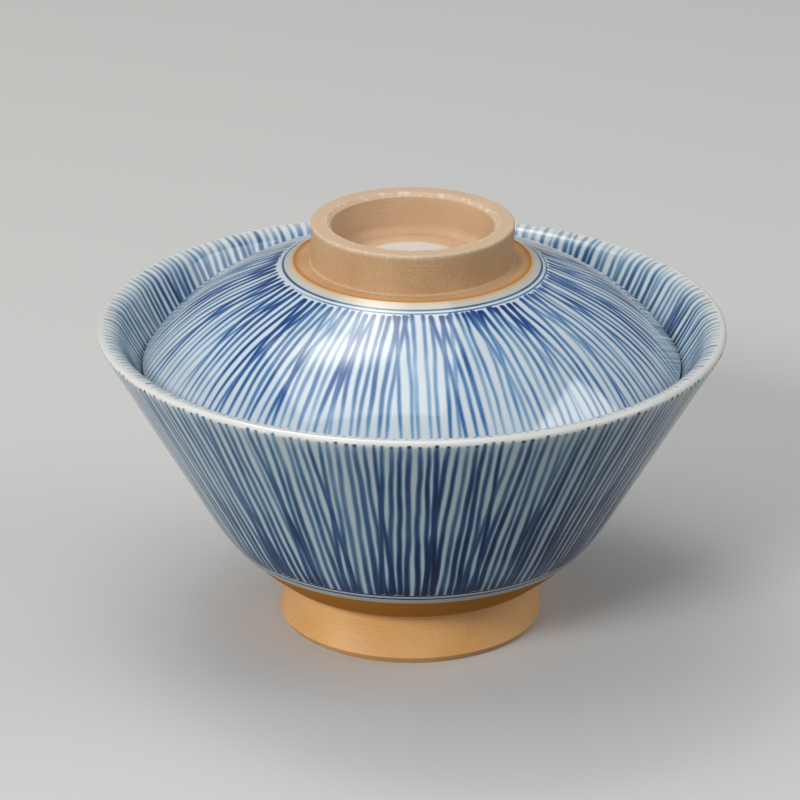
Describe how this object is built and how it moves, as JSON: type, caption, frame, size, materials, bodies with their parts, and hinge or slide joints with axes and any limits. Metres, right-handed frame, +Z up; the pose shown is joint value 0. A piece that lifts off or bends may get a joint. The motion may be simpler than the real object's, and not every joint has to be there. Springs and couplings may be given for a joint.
{
  "type": "donburi bowl with lid",
  "caption": "Flared ceramic donburi bowl with blue stripes on a tall bare-clay foot, and a domed lid that sits inside its lip and lifts off by a ring grip.",
  "frame": {"origin": "on the bowl's axis, in the plane that the foot ring stands on", "axes": "+Z up along the axis of the bowl and the lid; the object is round, so X and Y are alike"},
  "size_m": [0.155, 0.155, 0.1043],
  "materials": {
    "striped_glaze": "clear gloss glaze over painted cobalt stripes on off-white clay",
    "foot_clay": "bare orange-tan clay, matt, with fine turning lines",
    "grip_clay": "bare beige-tan clay, matt, with a pale rubbed lip"
  },
  "bodies": {
    "bowl": {"bowl_body": "striped_glaze", "bowl_foot_ring": "foot_clay"},
    "lid": {"lid_dome": "striped_glaze", "lid_grip_ring": "grip_clay"}
  },
  "joints": [
    {"name": "lid_lift", "type": "slide", "parent": "bowl", "child": "lid", "axis": [0, 0, 1], "range_m": [0, 0.06]}
  ]
}
